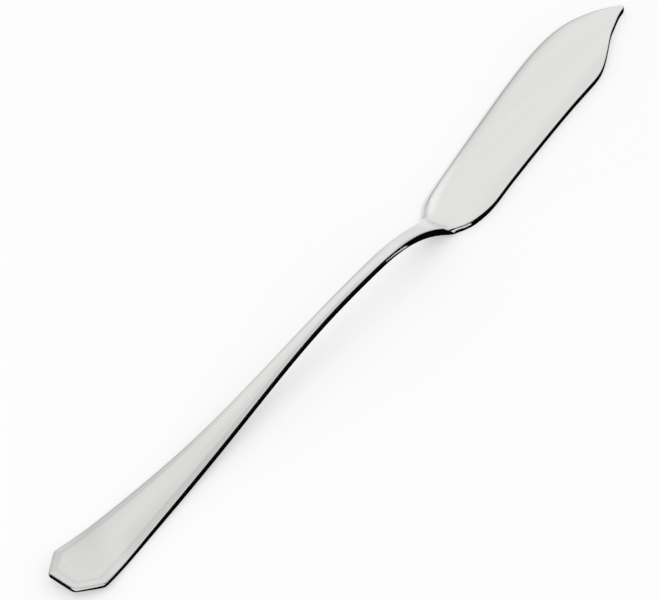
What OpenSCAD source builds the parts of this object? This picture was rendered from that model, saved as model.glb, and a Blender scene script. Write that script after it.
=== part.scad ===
// Fish knife made from one steel blank: a slender flared handle with a chamfered end and a
// bevelled rim, an arched neck, a crank with a slanted shoulder, and a broad flat blade.
// Units are millimetres. The handle lies along X, the tip points to +X, +Z is up, and the
// underside of the blade rests on Z = 0. The origin is the middle of the box on that plane.

/* [Overall] */
// Length from the flat of the handle end to the tip
knife_l = 200; // [170:1:230]
// Length of the blade from the shoulder to the tip
blade_l = 77.9; // [66:0.1:95]

/* [Handle] */
// Width across the corners of the handle end
handle_end_w = 13.6; // [10:0.1:18]
// Width of the flat at the very end of the handle
end_flat_w = 6.6; // [4:0.1:9]
// Length of the two chamfers at the handle end
end_chamfer_l = 5.6; // [3:0.1:8]
// Length over which the handle narrows from its end to the neck
flare_l = 82; // [60:1:90]
// Width of the neck at its narrowest
neck_w = 2.8; // [2.2:0.1:5]
// Thickness of the steel at the handle end
end_t = 1.5; // [1.2:0.1:2.4]
// Thickness of the steel in the middle of the handle and at the neck
handle_t = 2; // [1.6:0.1:3]
// Width of the bevelled rim round the handle end
rim_end_w = 1.6; // [1:0.1:2.4]
// Width of the bevelled rim at the neck
rim_neck_w = 0.7; // [0.4:0.05:1]
// Depth by which the rim falls from the panel to the outer edge at the handle end
rim_drop = 0.25; // [0.1:0.05:0.6]
// Height of the crown in the middle of the handle panel
panel_crown = 0.25; // [0:0.05:0.5]

/* [Side profile] */
// Height of the underside of the neck over the table
neck_rise = 8.6; // [5:0.1:12]
// Height of the underside of the handle end over the table
end_lift = 2.2; // [0:0.1:3]
// Distance from the handle end to the line where the handle touches the table
rest_x = 17; // [10:1:30]
// Angle of the crank that runs down from the neck to the blade
crank_angle = 35.5; // [25:0.5:50]

/* [Shoulder] */
// Width across the shoulder where the crank meets the blade
shoulder_w = 6; // [4.5:0.1:9]
// Distance by which the middle of the shoulder lies to the edge side of the handle's middle
shoulder_shift = 0.25; // [0:0.05:1]
// Height of the step from the crank down to the face of the blade
step_h = 0.5; // [0.2:0.05:0.8]
// Length of the sloped facet of the step
step_l = 1.3; // [0.6:0.1:2.5]
// Angle by which the shoulder leans from square to the handle
shoulder_angle = 21; // [0:0.5:24]

/* [Blade] */
// Widest width of the blade
blade_w = 16.7; // [14:0.1:24]
// Thickness of the blade at its back
blade_t = 1.8; // [1.4:0.1:2.4]
// Angle between the back of the blade and the handle
blade_angle = 6.4; // [0:0.2:9]
// Width of the bevel along the cutting edge
edge_bevel_w = 1; // [0.5:0.1:2]
// Thickness that is left at the cutting edge
edge_t = 0.5; // [0.3:0.05:1]
// Width of the blunt tip
tip_w = 0.9; // [0.5:0.1:2]

/* [Rounding] */
// Radius of the rounded corners along the upper side of the steel
face_round = 0.35; // [0.2:0.05:0.6]
// Radius of the rounded corners along the underside and the cutting edge
edge_round = 0.2; // [0.1:0.05:0.3]
// Radius of the four corners in the outline of the handle end
corner_round = 1.3; // [0.4:0.1:1.5]

/* [Hidden] */

steel = "gainsboro";

// Places along the handle axis, measured from the handle end
shoulder_x = knife_l - blade_l;
step_top_x = shoulder_x - step_l;

// Outline of the blade from the shoulder to the tip. The first share is of the blade's length,
// the second of its widest width, on either side of the blade's own middle line.
belly_shares = [
    [0, 0.255], [0.02, 0.296], [0.035, 0.326], [0.05, 0.356], [0.065, 0.388], [0.08, 0.414],
    [0.094, 0.43], [0.121, 0.45], [0.148, 0.468], [0.187, 0.491], [0.229, 0.514], [0.326, 0.548],
    [0.431, 0.583], [0.54, 0.616], [0.648, 0.634], [0.728, 0.626], [0.781, 0.601],
    [0.833, 0.548], [0.863, 0.501], [0.885, 0.456], [0.923, 0.363], [0.954, 0.269],
    [0.978, 0.174], [0.992, 0.087], [1, 0.035]
];
back_shares = [
    [0.016, -0.207], [0.028, -0.246], [0.054, -0.302], [0.104, -0.346], [0.159, -0.363],
    [0.218, -0.361], [0.272, -0.354], [0.375, -0.347], [0.48, -0.344], [0.586, -0.347],
    [0.666, -0.359], [0.718, -0.367], [0.746, -0.359], [0.774, -0.33], [0.803, -0.284],
    [0.835, -0.224], [0.888, -0.121], [0.929, -0.07], [0.968, -0.03]
];

// Where the rounded heel turns into the cutting edge
heel_share = 0.055;
heel_x = shoulder_x + blade_l * heel_share;

// The drop of the crank is shared by its upper bend, a straight run and its lower bend
upper_bend_share = 0.78;
lower_bend_share = 0.15;
crank_slope = tan(crank_angle);
upper_bend_l = 2 * upper_bend_share * neck_rise / crank_slope;
lower_bend_l = 2 * lower_bend_share * neck_rise / crank_slope;
straight_l = (1 - upper_bend_share - lower_bend_share) * neck_rise / crank_slope;
// The lower bend ends under the blade, between the shoulder and the heel
bend_end_share = 0.47;
bend_end_x = shoulder_x + bend_end_share * (heel_x - shoulder_x);
apex_x = bend_end_x - upper_bend_l - straight_l - lower_bend_l;

// Exponents of the handle's curves: the flare of its end, the widening to the shoulder, and
// the start and the finish of its rise to the neck
flare_power = 1.84;
shoulder_power = 4.5;
rise_power = 2.1;
settle_power = 1.6;

// Share of the blade's length over which the sections turn square to the handle again
straighten_share = 0.2;
// Share of the handle over which the steel thickens from the end, and over which the panel's
// crown rises from the rim
thicken_share = 0.33;
crown_in_share = 0.1;
// Height of the crown on a narrow panel, as a share of the panel's width
narrow_crown_share = 0.022;
// Largest share of a section's width that a rim or a bevel takes
rim_limit_share = 0.3;
// Largest shares that a rounded corner takes of the width of its rim, and of the height of its
// side wall, for the corners of the upper side and of the underside
rim_round_share = 0.7;
upper_round_share = 0.45;
lower_round_share = 0.35;
// Place of the middle of a rounded corner, as a share of its radius from both of its faces
arc_share = 0.293;
// Size of the small bevel round the tip and under the handle end, as a share of the radius of the
// rounded corners there
end_bevel_share = 0.7;
// Height by which the upper side is rounded down at the handle end, as a share of its thickness
end_drop_share = 0.3;
// Width over which the two lines of an outline corner are blended, as a share of its radius
soft_share = 0.27;

// Places of the crown's points across the panel, as shares of its half width
crown_shares = [-0.66, -0.33, 0, 0.33, 0.66];

// Smooth step from 0 to 1 over the stretch from a to b
function blend(x, a, b) =
    let (t = min(1, max(0, (x - a) / (b - a))))
    t * t * (3 - 2 * t);

function mix(a, b, t) = a + (b - a) * t;

// Smooth curve through points, with one cubic in each gap between two of them
function slope_at(p, i) =
    let (a = max(i - 1, 0), b = min(i + 1, len(p) - 1))
    (p[b].y - p[a].y) / (p[b].x - p[a].x);

function gap_at(p, x, i = 0) =
    i >= len(p) - 2 || x <= p[i + 1].x ? i : gap_at(p, x, i + 1);

function curve(p, x) =
    let (
        i = gap_at(p, x),
        w = p[i + 1].x - p[i].x,
        t = (x - p[i].x) / w,
        rise = t * t * (3 - 2 * t),
        start = t * (1 - t) * (1 - t) * w * slope_at(p, i),
        finish = t * t * (1 - t) * w * slope_at(p, i + 1)
    )
    mix(p[i].y, p[i + 1].y, rise) + start - finish;

// Side profile: height of the underside and of the top face
function eased(t) =
    t <= 0 ? 0 : t >= 1 ? 1 : pow(t, rise_power) / (pow(t, rise_power) + pow(1 - t, settle_power));

function underside(x) =
    x < rest_x ? end_lift * pow(1 - x / rest_x, 2)
    : x < apex_x ? neck_rise * eased((x - rest_x) / (apex_x - rest_x))
    : x < apex_x + upper_bend_l ? neck_rise - crank_slope * pow(x - apex_x, 2) / (2 * upper_bend_l)
    : x < bend_end_x - lower_bend_l ? crank_slope * (bend_end_x - lower_bend_l / 2 - x)
    : x < bend_end_x ? crank_slope * pow(bend_end_x - x, 2) / (2 * lower_bend_l)
    : 0;

function steepness(x) = (underside(x + edge_round) - underside(x - edge_round)) / (2 * edge_round);

function steel_t(x) =
    x < apex_x ? mix(end_t, handle_t, blend(x, 0, thicken_share * apex_x))
    : x < step_top_x ? mix(handle_t, blade_t + step_h, blend(x, apex_x, step_top_x))
    : mix(blade_t + step_h, blade_t, min(1, (x - step_top_x) / step_l));

function top_face(x) = underside(x) + steel_t(x) * sqrt(1 + pow(steepness(x), 2));

// Plan of the handle: half its width
function chamfer_y(x) = mix(end_flat_w, handle_end_w, x / end_chamfer_l) / 2;

function side_y(x) =
    let (
        flare = pow(max(0, 1 - (x - end_chamfer_l) / flare_l), flare_power),
        widening = pow(max(0, (x - apex_x) / (shoulder_x - apex_x)), shoulder_power)
    )
    (neck_w + (handle_end_w - neck_w) * flare + (shoulder_w - neck_w) * widening) / 2;

chamfer_angle = atan((handle_end_w - end_flat_w) / 2 / end_chamfer_l);

// The corners of the end flat are round, and so is the upper edge of the end face
end_tangent = corner_round * tan((90 - chamfer_angle) / 2);
end_run = end_tangent * cos(chamfer_angle);

function end_curve(x) = x < end_run ? 1 - sqrt(1 - pow(1 - x / end_run, 2)) : 0;

// The lesser of two lengths, with the corner between their lines rounded
function soft_min(a, b) = (a + b - sqrt(pow(a - b, 2) + pow(soft_share * corner_round, 2))) / 2;

function handle_y(x) = soft_min(chamfer_y(x), side_y(x)) - end_tangent * end_curve(x);

// Plan of the whole knife: the edge side is +Y and the back is -Y
function axis_y(x) =
    x < shoulder_x ? shoulder_shift * blend(x, apex_x, shoulder_x)
    : shoulder_shift + (x - shoulder_x) * tan(blade_angle);

function blade_y(shares, x) =
    axis_y(x) + blade_w * curve(shares, (x - shoulder_x) / blade_l);

back_curve_shares = concat(
    [[0, -shoulder_w / 2 / blade_w]], back_shares,
    [[1, belly_shares[len(belly_shares) - 1].y - tip_w / blade_w]]
);

edge_side_y = axis_y(step_top_x) + handle_y(step_top_x);

function edge_y(x) =
    x < step_top_x ? axis_y(x) + handle_y(x)
    : x < shoulder_x ? mix(edge_side_y, blade_y(belly_shares, shoulder_x), (x - step_top_x) / step_l)
    : blade_y(belly_shares, x);

function back_y(x) = x < shoulder_x ? axis_y(x) - handle_y(x) : blade_y(back_curve_shares, x);

// Lean of the sections, so that those at the shoulder follow its slanted line
function lean(x) =
    x < heel_x ? tan(shoulder_angle) * blend(x, apex_x, step_top_x)
    : tan(shoulder_angle) * (1 - blend(x, heel_x, heel_x + straighten_share * blade_l));

// Rim of the handle: a bevel of constant width that follows the outline
function rim_w(x) = mix(rim_end_w, rim_neck_w, blend(x, end_chamfer_l, end_chamfer_l + flare_l));

function chamfer_rim_y(x) =
    end_flat_w / 2 - rim_end_w * (1 - sin(chamfer_angle)) / cos(chamfer_angle)
    + (x - rim_end_w) * tan(chamfer_angle);

function rim_y(x) =
    x < rim_end_w ? chamfer_rim_y(rim_end_w)
    : min(chamfer_rim_y(x), side_y(x) - min(rim_w(x), rim_limit_share * 2 * side_y(x)));

// The rim's inner corner lies where its two inner lines meet
side_slope = -flare_power * (handle_end_w - neck_w) / 2 / flare_l;
side_rim_w = rim_end_w * sqrt(1 + side_slope * side_slope);
side_rim_y = handle_end_w / 2 - side_slope * end_chamfer_l - side_rim_w;
rim_corner_x = (side_rim_y - chamfer_rim_y(0)) / (tan(chamfer_angle) - side_slope);

// Width of the bevel of the cutting edge, measured square to the outline
function bevel_at(x, wide) = wide * sqrt(1 + pow((edge_y(x) - edge_y(x - edge_round)) / edge_round, 2));

// Small bevel round an end face, by which a section is drawn in at this distance from it
function drawn_in(distance) = end_bevel_share * edge_round * max(0, 1 - distance / edge_round);

// Rounded corner from a wall at y up to a top that rises by slope; side is 1 for the wall on the
// right and -1 for the wall on the left
function top_corner(y, z, r, slope, side) = [
    [y, z - r], [y + side * arc_share * r, z - arc_share * r], [y + side * r, z + slope * r]
];

function low_corner(y, z, r, side) = [
    [y + side * r, z], [y + side * arc_share * r, z + arc_share * r], [y, z + r]
];

// Share of the way from the top of the shoulder's step to the face of the blade
function on_blade(x) = min(1, max(0, (x - step_top_x) / step_l));

// Lean of the sections, applied to one point of them
function leaned_x(x, y) = x - lean(x) * (y - axis_y(x));

// The crank bends square to the handle and the shoulder is slanted, so that the step is high at
// the edge side and runs out at the back
function lift(x, y) = (top_face(leaned_x(x, y)) - top_face(x)) * (1 - on_blade(x));

// Section at one place. Its top runs from the right to the left: a rounded corner, the rim or the
// bevel, the crowned panel, and the same on the other side. Its underside runs back.
function ring(x) =
    let (
        tip_in = drawn_in(knife_l - x),
        left = edge_y(x) - tip_in,
        right = back_y(x) + tip_in,
        low = underside(x) + drawn_in(min(x, knife_l - x)),
        high = top_face(x) - tip_in - end_drop_share * end_t * end_curve(x),
        width = left - right,
        past_heel = blend(x, step_top_x, heel_x),
        limit = rim_limit_share * width,
        rim = handle_y(x) - rim_y(x),
        left_rim = min(limit, mix(rim, bevel_at(x, edge_bevel_w), on_blade(x))),
        right_rim = min(limit, mix(rim, 2 * face_round, on_blade(x))),
        rim_depth = rim_drop * rim_w(x) / rim_end_w,
        rim_fall = x < rim_end_w ? mix(rim_drop, 0, x / rim_end_w) : 0,
        left_drop = mix(rim_depth, blade_t - edge_t, past_heel) - rim_fall,
        right_drop = mix(rim_depth, 0, on_blade(x)) - rim_fall,
        panel_right = right + right_rim,
        panel_left = left - left_rim,
        panel_w = panel_left - panel_right,
        panel_z = high - rim_fall,
        left_z = panel_z - left_drop,
        right_z = panel_z - right_drop,
        crown = min(panel_crown, narrow_crown_share * panel_w)
            * blend(x, rim_end_w, crown_in_share * apex_x) * (1 - on_blade(x)),
        left_r = min(
            mix(face_round, edge_round, on_blade(x)), rim_round_share * left_rim,
            upper_round_share * (left_z - low)
        ),
        right_r = min(
            face_round, rim_round_share * right_rim, upper_round_share * (right_z - low)
        ),
        low_left_r = min(edge_round, lower_round_share * (left_z - low), limit),
        low_right_r = min(edge_round, lower_round_share * (right_z - low), limit),
        left_corner = top_corner(left, left_z, left_r, left_drop / left_rim, -1),
        low_left_corner = low_corner(left, low, low_left_r, -1),
        top = concat(
            top_corner(right, right_z, right_r, right_drop / right_rim, 1),
            [[panel_right, panel_z]],
            [for (u = crown_shares)
                [(panel_left + panel_right + u * panel_w) / 2, panel_z + crown * (1 - u * u)]],
            [[panel_left, panel_z]],
            [for (k = [2 : -1 : 0]) left_corner[k]]
        ),
        under = concat(
            [for (k = [2 : -1 : 0]) low_left_corner[k]],
            low_corner(right, low, low_right_r, 1)
        )
    )
    concat(
        [for (p = top) [leaned_x(x, p.x), p.x, p.y + lift(x, p.x)]],
        [for (p = under) [leaned_x(x, p.x), p.x, p.y]]
    );

// Stations of the sections along the handle axis, closer together at the handle end, at its
// chamfer corners and round the concave back near the tip
function steps(a, b, count) = [for (i = [0 : count - 1]) mix(a, b, i / count)];

notch_share = 0.7;
tip_zone_share = 0.86;
notch_x = shoulder_x + blade_l * notch_share;
tip_zone_x = shoulder_x + blade_l * tip_zone_share;
tip_end_x = knife_l - edge_round;
end_shares = [0, 0.06, 0.2, 0.45, 0.7, 1];
corner_shares = [0.45, 0.65, 0.8, 0.9, 1];
stations = concat(
    [for (share = end_shares) end_run * share],
    [rim_end_w],
    [for (share = corner_shares) mix(rim_end_w, end_chamfer_l, share)],
    steps(rim_corner_x, apex_x, 44),
    steps(apex_x, step_top_x, 22),
    steps(step_top_x, shoulder_x, 3),
    steps(shoulder_x, bend_end_x, 3),
    steps(bend_end_x, heel_x, 3),
    steps(heel_x, notch_x, 30),
    steps(notch_x, tip_zone_x, 14),
    steps(tip_zone_x, tip_end_x, 18),
    [tip_end_x, knife_l]
);

rings = [for (x = stations) ring(x)];
ring_n = len(rings[0]);
last = len(stations) - 1;

all_points = [for (r = rings) each r];
low_y = min([for (p = all_points) p.y]);
high_y = max([for (p = all_points) p.y]);

function at(i, k) = i * ring_n + k % ring_n;

// Rings are joined by triangles. On each side of the middle of the panel their diagonals start at
// the outer corner, so that they follow the creases of the rim.
corner_n = len(top_corner(0, 0, face_round, 0, 1));
middle = corner_n + 1 + floor(len(crown_shares) / 2);

function joined(i, k) =
    k < middle
    ? [[at(i, k), at(i, k + 1), at(i + 1, k + 1)], [at(i, k), at(i + 1, k + 1), at(i + 1, k)]]
    : [[at(i, k), at(i, k + 1), at(i + 1, k)], [at(i, k + 1), at(i + 1, k + 1), at(i + 1, k)]];

knife_faces = concat(
    [[for (k = [ring_n - 1 : -1 : 0]) at(0, k)]],
    [for (i = [0 : last - 1], k = [0 : ring_n - 1]) each joined(i, k)],
    [[for (k = [0 : ring_n - 1]) at(last, k)]]
);

// The whole knife, one solid of steel from the handle end to the tip
module fish_knife() {
    color(steel)
        translate([-knife_l / 2, -(low_y + high_y) / 2, 0])
            polyhedron(points = all_points, faces = knife_faces, convexity = 4);
}

fish_knife();
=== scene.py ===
# Fish knife in one piece of polished steel, lying face up on a pale studio floor.
# Lengths are metres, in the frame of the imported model: the tip points to +X and the
# cutting edge lies on the +Y side.
import math

import bmesh
import bpy
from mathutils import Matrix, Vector


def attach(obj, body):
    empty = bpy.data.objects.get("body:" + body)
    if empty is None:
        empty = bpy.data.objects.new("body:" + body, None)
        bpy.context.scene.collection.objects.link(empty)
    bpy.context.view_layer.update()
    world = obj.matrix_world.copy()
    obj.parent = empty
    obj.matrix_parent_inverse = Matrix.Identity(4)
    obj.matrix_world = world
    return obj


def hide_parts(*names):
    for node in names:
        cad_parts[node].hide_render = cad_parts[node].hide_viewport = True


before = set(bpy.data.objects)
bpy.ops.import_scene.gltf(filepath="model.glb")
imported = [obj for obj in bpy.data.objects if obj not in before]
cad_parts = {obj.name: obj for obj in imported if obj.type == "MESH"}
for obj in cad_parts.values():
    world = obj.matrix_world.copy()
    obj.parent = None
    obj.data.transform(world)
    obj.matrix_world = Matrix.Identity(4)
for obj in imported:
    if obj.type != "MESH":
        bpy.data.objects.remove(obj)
bpy.context.view_layer.update()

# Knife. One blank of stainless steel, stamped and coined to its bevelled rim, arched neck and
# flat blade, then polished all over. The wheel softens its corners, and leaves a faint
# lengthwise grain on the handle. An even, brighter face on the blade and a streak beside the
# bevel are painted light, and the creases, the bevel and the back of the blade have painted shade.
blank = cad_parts["fish_knife"]
knife = bpy.data.objects.new("polished_knife", blank.data.copy())
knife.data.name = "polished_knife"
bpy.context.scene.collection.objects.link(knife)
bpy.ops.object.select_all(action="DESELECT")
bpy.context.view_layer.objects.active = knife
knife.select_set(True)

bpy.ops.object.mode_set(mode="EDIT")
bpy.ops.mesh.select_mode(type="EDGE")
bpy.ops.mesh.select_all(action="SELECT")
bpy.ops.mesh.remove_doubles(threshold=0.0000001)
# Triangles are joined to quads in the flattest places first, so that the true edges stay
any_shape = math.radians(180)
for bend in (0.5, 2.0, 60):
    bpy.ops.mesh.tris_convert_to_quads(face_threshold=math.radians(bend), shape_threshold=any_shape)
bpy.ops.mesh.select_all(action="DESELECT")

# Lines that stay crisp: the inner line of the rim, the bevel of the cutting edge, the two lines
# of the slanted shoulder, and the edges of the tip and of the handle's end face. The inner line
# of the rim, the shoulder's lines and the bevel are also marked for the painted shade that the
# material lays along them.
shoulder_lean = math.tan(math.radians(21))
shoulder_middle = -0.00499
shoulder_lines = (0.0208, 0.0221)
end_rim_x = -0.0984
# How near a point lies to a line that it is on
near_line = 0.00001
near_end_rim = 0.0001
near_shoulder_line = 0.00012
# Angles in degrees by which the steel turns at the lines
rim_turn = 3
end_rim_turn = 2
bevel_turn_min, bevel_turn_max = 48, 60
wall_turn = 70
# Creases of a hard line and of the softer shoulder, and the marks of the lines for the painted
# shade in the material
hard_crease = 0.9
shoulder_crease = 0.6
fold_mark = 1.0
bevel_mark = 1.25
beside_bevel_mark = 0.6
shape = bmesh.from_edit_mesh(knife.data)
crisp = shape.edges.layers.float.new("crease_edge")
crease_shade_layer = shape.verts.layers.float.new("crease_shade_mark")
for edge in shape.edges:
    turn = math.degrees(edge.calc_face_angle(0))
    run = edge.verts[1].co - edge.verts[0].co
    lengthwise = abs(run.x) > 0.5 * abs(run.y) and abs(run.x) > abs(run.z)
    facing_up = all(face.normal.z > 0 and abs(face.normal.y) < 0.3 for face in edge.link_faces)
    on_end_rim = all(abs(vert.co.x - end_rim_x) < near_line for vert in edge.verts)
    past_end_rim = all(vert.co.x > end_rim_x - near_line for vert in edge.verts)
    by_end_face = all(vert.co.x < end_rim_x + near_end_rim for vert in edge.verts)
    nearly_level = all(face.normal.z > 0.975 for face in edge.link_faces)
    on_handle = all(vert.co.x < shoulder_lines[0] for vert in edge.verts)
    on_bevel = lengthwise and bevel_turn_min < turn < bevel_turn_max
    on_rim = lengthwise and turn > rim_turn or on_end_rim and turn > end_rim_turn
    if facing_up and on_handle and on_rim:
        edge[crisp] = hard_crease
        if past_end_rim:
            for vert in edge.verts:
                vert[crease_shade_layer] = fold_mark
    elif turn > wall_turn or on_bevel:
        edge[crisp] = hard_crease
        if on_bevel and not on_handle:
            for vert in edge.verts:
                vert[crease_shade_layer] = bevel_mark
    elif facing_up and turn > rim_turn and by_end_face and nearly_level:
        edge[crisp] = hard_crease
    for line in shoulder_lines:
        off = [abs(v.co.x + shoulder_lean * (v.co.y - shoulder_middle) - line) for v in edge.verts]
        if max(off) < near_shoulder_line and turn > rim_turn:
            edge[crisp] = shoulder_crease
            if facing_up:
                for vert in edge.verts:
                    vert[crease_shade_layer] = fold_mark
# The points of the upper face beside the line of the bevel take a weaker mark of painted shade
upper_face_z = 0.0015
for edge in shape.edges:
    near, far = sorted(edge.verts, key=lambda vert: vert[crease_shade_layer])
    if far[crease_shade_layer] > fold_mark and near[crease_shade_layer] == 0 and near.co.z > upper_face_z:
        near[crease_shade_layer] = beside_bevel_mark
bmesh.update_edit_mesh(knife.data)
bpy.ops.object.mode_set(mode="OBJECT")

softened = knife.modifiers.new("softened", "SUBSURF")
softened.levels = 2
softened.render_levels = 2
bpy.ops.object.modifier_apply(modifier="softened")
bpy.ops.object.shade_smooth_by_angle(angle=math.radians(30))

steel = bpy.data.materials.new("polished_steel")
steel.use_nodes = True
nodes = steel.node_tree.nodes
links = steel.node_tree.links
surface = nodes["Principled BSDF"]
surface.inputs["Metallic"].default_value = 1.0
place = nodes.new("ShaderNodeTexCoord")

# Soft lengthwise bands that the polishing wheel leaves, and the finer grain along them
bands_at = nodes.new("ShaderNodeMapping")
bands_at.inputs["Scale"].default_value = (18, 300, 0)
bands = nodes.new("ShaderNodeTexNoise")
bands.inputs["Scale"].default_value = 1.0
bands.inputs["Detail"].default_value = 1.0
grain_at = nodes.new("ShaderNodeMapping")
grain_at.inputs["Scale"].default_value = (90, 2600, 0)
grain = nodes.new("ShaderNodeTexNoise")
grain.inputs["Scale"].default_value = 1.0
grain.inputs["Detail"].default_value = 3.0
links.new(place.outputs["Object"], bands_at.inputs["Vector"])
links.new(bands_at.outputs["Vector"], bands.inputs["Vector"])
links.new(place.outputs["Object"], grain_at.inputs["Vector"])
links.new(grain_at.outputs["Vector"], grain.inputs["Vector"])

# The grain shows more on the handle than on the blade
along = nodes.new("ShaderNodeSeparateXYZ")
links.new(place.outputs["Object"], along.inputs[0])
handle_part = nodes.new("ShaderNodeMapRange")
handle_part.inputs["From Min"].default_value = 0.022
handle_part.inputs["From Max"].default_value = 0.018
handle_part.inputs["To Min"].default_value = 0.35
handle_part.inputs["To Max"].default_value = 1.0
links.new(along.outputs["X"], handle_part.inputs["Value"])

# Painted shade: the folds of the rim and shoulder and the ground bevel are painted darker in the
# colour
fold = nodes.new("ShaderNodeAttribute")
fold.attribute_name = "crease_shade_mark"
crease_shade = nodes.new("ShaderNodeMath")
crease_shade.operation = "POWER"
crease_shade.inputs[1].default_value = 5.0
links.new(fold.outputs["Fac"], crease_shade.inputs[0])

shade = nodes.new("ShaderNodeMapRange")
shade.inputs["To Min"].default_value = -0.02
shade.inputs["To Max"].default_value = 0.03
links.new(bands.outputs["Fac"], shade.inputs["Value"])
grain_shade = nodes.new("ShaderNodeMapRange")
grain_shade.inputs["To Min"].default_value = -0.025
grain_shade.inputs["To Max"].default_value = 0.025
links.new(grain.outputs["Fac"], grain_shade.inputs["Value"])
handle_grain = nodes.new("ShaderNodeMath")
handle_grain.operation = "MULTIPLY"
links.new(grain_shade.outputs["Result"], handle_grain.inputs[0])
links.new(handle_part.outputs["Result"], handle_grain.inputs[1])
bright = nodes.new("ShaderNodeMath")
bright.operation = "ADD"
links.new(shade.outputs["Result"], bright.inputs[0])
links.new(handle_grain.outputs["Value"], bright.inputs[1])
crease_shaded = nodes.new("ShaderNodeMath")
crease_shaded.operation = "MULTIPLY_ADD"
crease_shaded.inputs[1].default_value = -0.08
links.new(crease_shade.outputs["Value"], crease_shaded.inputs[0])
links.new(bright.outputs["Value"], crease_shaded.inputs[2])

# Painted shade: the face of the blade is painted a little darker towards its straight back
back = nodes.new("ShaderNodeVectorMath")
back.operation = "DOT_PRODUCT"
back.inputs[1].default_value = (-0.1325, 1, 0)
links.new(place.outputs["Object"], back.inputs[0])
painted_back_shade = nodes.new("ShaderNodeMapRange")
painted_back_shade.interpolation_type = "SMOOTHSTEP"
painted_back_shade.inputs["From Min"].default_value = -0.0139
painted_back_shade.inputs["From Max"].default_value = -0.0109
painted_back_shade.inputs["To Min"].default_value = -0.05
painted_back_shade.inputs["To Max"].default_value = 0.0
links.new(back.outputs["Value"], painted_back_shade.inputs["Value"])
back_shaded = nodes.new("ShaderNodeMath")
back_shaded.operation = "ADD"
links.new(crease_shaded.outputs["Value"], back_shaded.inputs[0])
links.new(painted_back_shade.outputs["Result"], back_shaded.inputs[1])

# Painted light: the neck and the blade are painted brighter than the handle, for how their faces
# meet the light
blade_light_paint = nodes.new("ShaderNodeMapRange")
blade_light_paint.interpolation_type = "SMOOTHSTEP"
blade_light_paint.inputs["From Min"].default_value = -0.058
blade_light_paint.inputs["From Max"].default_value = -0.04
blade_light_paint.inputs["To Min"].default_value = 0.715
blade_light_paint.inputs["To Max"].default_value = 0.785
links.new(along.outputs["X"], blade_light_paint.inputs["Value"])
blade_lit = nodes.new("ShaderNodeMath")
blade_lit.operation = "ADD"
links.new(back_shaded.outputs["Value"], blade_lit.inputs[0])
links.new(blade_light_paint.outputs["Result"], blade_lit.inputs[1])

# Beside the bevel of the edge, next to the shoulder, a painted highlight: a brighter streak in the
# colour. It curves with the edge and runs out half way along the blade.
streak_at = nodes.new("ShaderNodeMapping")
streak_at.inputs["Location"].default_value = (-0.0227, 0.0008, 0)
links.new(place.outputs["Object"], streak_at.inputs["Vector"])
streak_xy = nodes.new("ShaderNodeSeparateXYZ")
links.new(streak_at.outputs["Vector"], streak_xy.inputs[0])
streak_bow = nodes.new("ShaderNodeMath")
streak_bow.operation = "MULTIPLY_ADD"
streak_bow.inputs[1].default_value = -4.5
streak_bow.inputs[2].default_value = 0.38
links.new(streak_xy.outputs["X"], streak_bow.inputs[0])
streak_line = nodes.new("ShaderNodeMath")
streak_line.operation = "MULTIPLY"
links.new(streak_bow.outputs["Value"], streak_line.inputs[0])
links.new(streak_xy.outputs["X"], streak_line.inputs[1])
streak_gap = nodes.new("ShaderNodeMath")
streak_gap.operation = "SUBTRACT"
links.new(streak_xy.outputs["Y"], streak_gap.inputs[0])
links.new(streak_line.outputs["Value"], streak_gap.inputs[1])
streak_off = nodes.new("ShaderNodeMath")
streak_off.operation = "ABSOLUTE"
links.new(streak_gap.outputs["Value"], streak_off.inputs[0])
streak_edge = nodes.new("ShaderNodeMapRange")
streak_edge.interpolation_type = "SMOOTHSTEP"
streak_edge.inputs["From Min"].default_value = 0.0018
streak_edge.inputs["From Max"].default_value = 0.0
links.new(streak_off.outputs["Value"], streak_edge.inputs["Value"])
streak_end = nodes.new("ShaderNodeMapRange")
streak_end.interpolation_type = "SMOOTHSTEP"
streak_end.inputs["From Min"].default_value = 0.033
streak_end.inputs["From Max"].default_value = 0.001
links.new(streak_xy.outputs["X"], streak_end.inputs["Value"])
streak_start = nodes.new("ShaderNodeMapRange")
streak_start.interpolation_type = "SMOOTHSTEP"
streak_start.inputs["From Min"].default_value = -0.001
streak_start.inputs["From Max"].default_value = 0.002
links.new(streak_xy.outputs["X"], streak_start.inputs["Value"])
streak_length = nodes.new("ShaderNodeMath")
streak_length.operation = "MULTIPLY"
links.new(streak_end.outputs["Result"], streak_length.inputs[0])
links.new(streak_start.outputs["Result"], streak_length.inputs[1])
streak = nodes.new("ShaderNodeMath")
streak.operation = "MULTIPLY"
links.new(streak_edge.outputs["Result"], streak.inputs[0])
links.new(streak_length.outputs["Value"], streak.inputs[1])
highlight_painted = nodes.new("ShaderNodeMath")
highlight_painted.operation = "MULTIPLY_ADD"
highlight_painted.inputs[1].default_value = 0.16
links.new(streak.outputs["Value"], highlight_painted.inputs[0])
links.new(blade_lit.outputs["Value"], highlight_painted.inputs[2])

tint = nodes.new("ShaderNodeCombineColor")
warm = nodes.new("ShaderNodeMath")
warm.operation = "MULTIPLY"
warm.inputs[1].default_value = 0.985
links.new(highlight_painted.outputs["Value"], warm.inputs[0])
links.new(highlight_painted.outputs["Value"], tint.inputs["Red"])
links.new(highlight_painted.outputs["Value"], tint.inputs["Green"])
links.new(warm.outputs["Value"], tint.inputs["Blue"])
links.new(tint.outputs["Color"], surface.inputs["Base Color"])

rough = nodes.new("ShaderNodeMapRange")
rough.inputs["To Min"].default_value = 0.09
rough.inputs["To Max"].default_value = 0.15
links.new(grain.outputs["Fac"], rough.inputs["Value"])
links.new(rough.outputs["Result"], surface.inputs["Roughness"])

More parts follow.
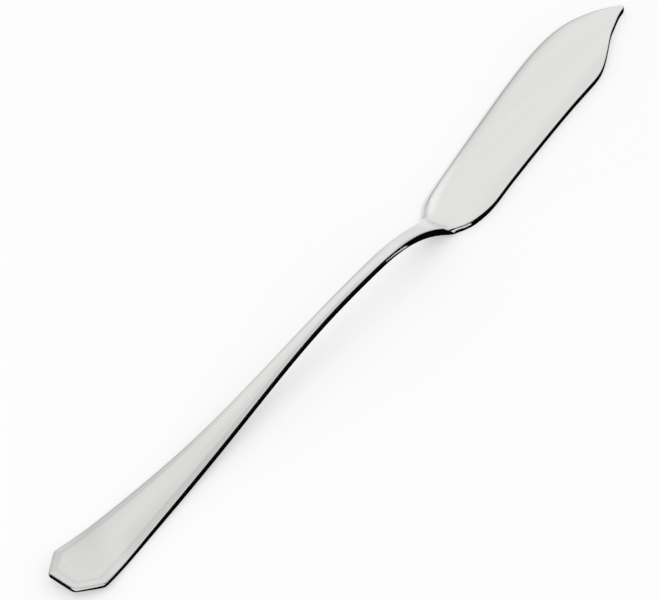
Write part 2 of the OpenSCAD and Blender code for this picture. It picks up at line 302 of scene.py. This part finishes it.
waves = nodes.new("ShaderNodeBump")
waves.inputs["Strength"].default_value = 1.0
waves.inputs["Distance"].default_value = 0.00003
links.new(bands.outputs["Fac"], waves.inputs["Height"])
lines = nodes.new("ShaderNodeBump")
lines.inputs["Strength"].default_value = 0.5
lines.inputs["Distance"].default_value = 0.000002
links.new(grain.outputs["Fac"], lines.inputs["Height"])
links.new(waves.outputs["Normal"], lines.inputs["Normal"])
links.new(lines.outputs["Normal"], surface.inputs["Normal"])

knife.data.materials.clear()
knife.data.materials.append(steel)
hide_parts("fish_knife")
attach(knife, "root")

# Floor. A wide sheet of pale matt paper, which the underside of the blade lies on. The camera and
# the steel see it half as white paper glowing evenly, so that the shadow on it stays faint.
bpy.ops.object.select_all(action="DESELECT")
bpy.ops.mesh.primitive_plane_add(size=6, location=(0, 0, 0))
floor = bpy.context.object
floor.name = "floor"
paper = bpy.data.materials.new("pale_paper")
paper.use_nodes = True
sheet = paper.node_tree.nodes["Principled BSDF"]
sheet.inputs["Base Color"].default_value = (0.88, 0.88, 0.88, 1)
sheet.inputs["Roughness"].default_value = 0.9
sheet.inputs["Specular IOR Level"].default_value = 0.1
paper_nodes = paper.node_tree.nodes
paper_links = paper.node_tree.links
seen_by = paper_nodes.new("ShaderNodeLightPath")
in_view = paper_nodes.new("ShaderNodeMath")
in_view.operation = "MAXIMUM"
in_gloss = paper_nodes.new("ShaderNodeMath")
in_gloss.operation = "MAXIMUM"
veil = paper_nodes.new("ShaderNodeMath")
veil.operation = "MULTIPLY"
veil.inputs[1].default_value = 0.5
white = paper_nodes.new("ShaderNodeEmission")
white.inputs["Color"].default_value = (1, 1, 1, 1)
white.inputs["Strength"].default_value = 1.0
paper_mix = paper_nodes.new("ShaderNodeMixShader")
paper_links.new(seen_by.outputs["Is Camera Ray"], in_view.inputs[0])
paper_links.new(seen_by.outputs["Is Glossy Ray"], in_view.inputs[1])
paper_links.new(in_view.outputs["Value"], in_gloss.inputs[0])
paper_links.new(seen_by.outputs["Is Transmission Ray"], in_gloss.inputs[1])
paper_links.new(in_gloss.outputs["Value"], veil.inputs[0])
paper_links.new(veil.outputs["Value"], paper_mix.inputs["Fac"])
paper_links.new(sheet.outputs["BSDF"], paper_mix.inputs[1])
paper_links.new(white.outputs["Emission"], paper_mix.inputs[2])
paper_links.new(paper_mix.outputs["Shader"], paper_nodes["Material Output"].inputs["Surface"])
floor.data.materials.append(paper)

# Card. Cutlery is photographed with a strip of black card round it, which its polished side
# walls mirror. Only reflections show it, so that the floor stays pale and keeps the shadow. The
# first of its four sheets lies along the knife, with a corner cut off beside the chamfer.
bpy.ops.object.select_all(action="DESELECT")
bpy.ops.mesh.primitive_plane_add(size=1, location=(0, 0, 0))
card = bpy.context.object
card.name = "black_card"
bpy.ops.object.mode_set(mode="EDIT")
bpy.ops.transform.resize(value=(0.3, 0.07, 1))
bpy.ops.transform.translate(value=(0, -0.035, 0.0001))
bpy.ops.mesh.bisect(plane_co=(-0.10106, -0.01024, 0), plane_no=(-0.53, -0.848, 0), clear_outer=True)
# The other sheets lie beyond the handle end, further out from the knife, and by the notched tip
for sheet_size, sheet_middle in (
    ((0.05, 0.03, 1), (-0.1255, 0.015, 0.0001)),
    ((0.56, 0.39, 1), (0.2, -0.205, 0.00012)),
    ((0.045, 0.0034, 1), (0.1025, 0.0017, 0.0001)),
):
    bpy.ops.mesh.select_all(action="DESELECT")
    bpy.ops.mesh.primitive_plane_add(size=1, location=(0, 0, 0))
    bpy.ops.transform.resize(value=sheet_size)
    bpy.ops.transform.translate(value=sheet_middle)
bpy.ops.object.mode_set(mode="OBJECT")
black = bpy.data.materials.new("black_card")
black.use_nodes = True
black_sheet = black.node_tree.nodes["Principled BSDF"]
black_sheet.inputs["Base Color"].default_value = (0.002, 0.002, 0.002, 1)
black_sheet.inputs["Roughness"].default_value = 1.0
black_sheet.inputs["Specular IOR Level"].default_value = 0
card.data.materials.append(black)

# Paper slips. Two of them, of the floor's paper, lie on the card. The wall of the neck mirrors one
# as a short light line, and the wall by the heel of the blade mirrors the other.
bpy.ops.object.select_all(action="DESELECT")
bpy.ops.mesh.primitive_plane_add(size=1, location=(0, 0, 0))
slips = bpy.context.object
slips.name = "paper_slips"
bpy.ops.object.mode_set(mode="EDIT")
bpy.ops.transform.resize(value=(0.006, 0.0009, 1))
bpy.ops.transform.rotate(value=-math.radians(21), orient_axis="Z", center_override=(0, 0, 0))
bpy.ops.transform.translate(value=(0.0117, -0.012, 0.0002))
bpy.ops.mesh.select_all(action="DESELECT")
bpy.ops.mesh.primitive_plane_add(size=1, location=(0, 0, 0))
bpy.ops.transform.resize(value=(0.0046, 0.0009, 1))
bpy.ops.transform.rotate(value=math.radians(18), orient_axis="Z", center_override=(0, 0, 0))
bpy.ops.transform.translate(value=(0.02533, -0.00985, 0.0002))
bpy.ops.object.mode_set(mode="OBJECT")
slips.data.materials.append(paper)
for sheet_laid in (card, slips):
    sheet_laid.visible_camera = False
    sheet_laid.visible_diffuse = False
    sheet_laid.visible_shadow = False
    sheet_laid.visible_transmission = False

# Light. A large soft lamp beyond the handle, which the steel doesn't mirror, and a pale room. The
# room looks white to the camera and lights the floor evenly. The steel mirrors its tones:
# brightest half way up, and greyer overhead and at the horizon.
bpy.ops.object.light_add(type="AREA", location=(-0.5, 0.2, 1.1))
lamp = bpy.context.object
lamp.name = "soft_lamp"
lamp.data.shape = "DISK"
lamp.data.size = 0.9
lamp.data.energy = 3
lamp.visible_glossy = False
lamp.rotation_euler = (-lamp.location).to_track_quat("-Z", "Y").to_euler()

room = bpy.data.worlds.new("pale_room")
bpy.context.scene.world = room
room.use_nodes = True
room_nodes = room.node_tree.nodes
room_links = room.node_tree.links
glow = room_nodes["Background"]
ray = room_nodes.new("ShaderNodeLightPath")

direction = room_nodes.new("ShaderNodeTexCoord")
parts = room_nodes.new("ShaderNodeSeparateXYZ")
room_links.new(direction.outputs["Generated"], parts.inputs[0])
tone = room_nodes.new("ShaderNodeValToRGB")
tone.color_ramp.interpolation = "LINEAR"
tones = (
    (0.0, 0.66), (0.5, 0.7), (0.574, 0.77), (0.682, 0.9), (0.743, 0.98), (0.788, 1.0),
    (0.819, 0.96), (0.866, 0.86), (0.906, 0.78), (1.0, 0.72),
)
for number, (height, grey) in enumerate(tones):
    if number < 2:
        stop = tone.color_ramp.elements[number]
        stop.position = height
    else:
        stop = tone.color_ramp.elements.new(height)
    stop.color = (grey, grey, grey, 1)
room_links.new(parts.outputs["Z"], tone.inputs[0])

# Two narrow dark screens, one behind the back of the blade and one beyond the handle end, give
# the rounded edges their dark lines. Each takes a band of directions up to half way up the room.
band_middle = 0.215
band_reach = 0.225
half_way_up = 0.74
screens = []
for left_edge, middle in (
    ((-0.788, -0.616, 0), (0.616, -0.788, 0)),
    ((-0.588, -0.809, 0), (-0.809, 0.588, 0)),
):
    away = room_nodes.new("ShaderNodeVectorMath")
    away.operation = "DOT_PRODUCT"
    away.inputs[1].default_value = left_edge
    across = room_nodes.new("ShaderNodeMath")
    across.operation = "COMPARE"
    across.inputs[1].default_value = band_middle
    across.inputs[2].default_value = band_reach
    ahead = room_nodes.new("ShaderNodeVectorMath")
    ahead.operation = "DOT_PRODUCT"
    ahead.inputs[1].default_value = middle
    facing = room_nodes.new("ShaderNodeMath")
    facing.operation = "GREATER_THAN"
    facing.inputs[1].default_value = 0.0
    screen = room_nodes.new("ShaderNodeMath")
    screen.operation = "MULTIPLY"
    room_links.new(direction.outputs["Generated"], away.inputs[0])
    room_links.new(away.outputs["Value"], across.inputs[0])
    room_links.new(direction.outputs["Generated"], ahead.inputs[0])
    room_links.new(ahead.outputs["Value"], facing.inputs[0])
    room_links.new(across.outputs["Value"], screen.inputs[0])
    room_links.new(facing.outputs["Value"], screen.inputs[1])
    screens.append(screen)

# Two soft brighter places in the room. The bend of the neck mirrors the low one beyond the
# cutting edge, and the slope of the neck mirrors the high one.
places = []
for toward, reach, full, gain in (
    ((0.883, 0.412, 0.225), 0.82, 0.97, 1.35), ((0.2333, 0.3332, 0.9135), 0.975, 0.998, 1.14),
):
    nearness = room_nodes.new("ShaderNodeVectorMath")
    nearness.operation = "DOT_PRODUCT"
    nearness.inputs[1].default_value = toward
    soft_glow = room_nodes.new("ShaderNodeMapRange")
    soft_glow.interpolation_type = "SMOOTHSTEP"
    soft_glow.inputs["From Min"].default_value = reach
    soft_glow.inputs["From Max"].default_value = full
    soft_glow.inputs["To Min"].default_value = 1.0
    soft_glow.inputs["To Max"].default_value = gain
    room_links.new(direction.outputs["Generated"], nearness.inputs[0])
    room_links.new(nearness.outputs["Value"], soft_glow.inputs["Value"])
    places.append(soft_glow)

either = room_nodes.new("ShaderNodeMath")
either.operation = "MAXIMUM"
room_links.new(screens[0].outputs["Value"], either.inputs[0])
room_links.new(screens[1].outputs["Value"], either.inputs[1])
low = room_nodes.new("ShaderNodeMath")
low.operation = "LESS_THAN"
low.inputs[1].default_value = half_way_up
standing = room_nodes.new("ShaderNodeMath")
standing.operation = "MULTIPLY"
room_links.new(parts.outputs["Z"], low.inputs[0])
room_links.new(either.outputs["Value"], standing.inputs[0])
room_links.new(low.outputs["Value"], standing.inputs[1])
dusk = room_nodes.new("ShaderNodeMapRange")
dusk.inputs["To Min"].default_value = 1.0
dusk.inputs["To Max"].default_value = 0.03
room_links.new(standing.outputs["Value"], dusk.inputs["Value"])
brighter = room_nodes.new("ShaderNodeMath")
brighter.operation = "MULTIPLY"
room_links.new(places[0].outputs["Result"], brighter.inputs[0])
room_links.new(places[1].outputs["Result"], brighter.inputs[1])
room_tone = room_nodes.new("ShaderNodeMath")
room_tone.operation = "MULTIPLY"
room_links.new(dusk.outputs["Result"], room_tone.inputs[0])
room_links.new(brighter.outputs["Value"], room_tone.inputs[1])
shaded = room_nodes.new("ShaderNodeMix")
shaded.data_type = "RGBA"
shaded.blend_type = "MULTIPLY"
shaded.inputs["Factor"].default_value = 1.0
room_links.new(tone.outputs["Color"], shaded.inputs["A"])
room_links.new(room_tone.outputs["Value"], shaded.inputs["B"])

in_steel = room_nodes.new("ShaderNodeMix")
in_steel.data_type = "RGBA"
in_steel.inputs["A"].default_value = (1, 1, 1, 1)
room_links.new(ray.outputs["Is Glossy Ray"], in_steel.inputs["Factor"])
room_links.new(shaded.outputs["Result"], in_steel.inputs["B"])
room_links.new(in_steel.outputs["Result"], glow.inputs["Color"])

seen = room_nodes.new("ShaderNodeMath")
seen.operation = "MAXIMUM"
mirrored = room_nodes.new("ShaderNodeMath")
mirrored.operation = "MAXIMUM"
strength = room_nodes.new("ShaderNodeMapRange")
strength.inputs["To Min"].default_value = 0.93
strength.inputs["To Max"].default_value = 1.0
room_links.new(ray.outputs["Is Camera Ray"], seen.inputs[0])
room_links.new(ray.outputs["Is Glossy Ray"], seen.inputs[1])
room_links.new(seen.outputs["Value"], mirrored.inputs[0])
room_links.new(ray.outputs["Is Transmission Ray"], mirrored.inputs[1])
room_links.new(mirrored.outputs["Value"], strength.inputs["Value"])
room_links.new(strength.outputs["Result"], glow.inputs["Strength"])

# Camera. It stands on the side of the back of the blade and looks down along the knife.
bpy.ops.object.camera_add(location=(-0.480574, -0.373260, 0.669480))
camera = bpy.context.object
camera.name = "camera"
aim = Vector((-0.007297, 0.001330, 0)) - camera.location
camera.rotation_euler = aim.to_track_quat("-Z", "Y").to_euler()
camera.data.sensor_width = 36
camera.data.lens = 237.78
bpy.context.scene.camera = camera

bpy.context.scene.view_settings.view_transform = "Standard"

bpy.context.view_layer.update()
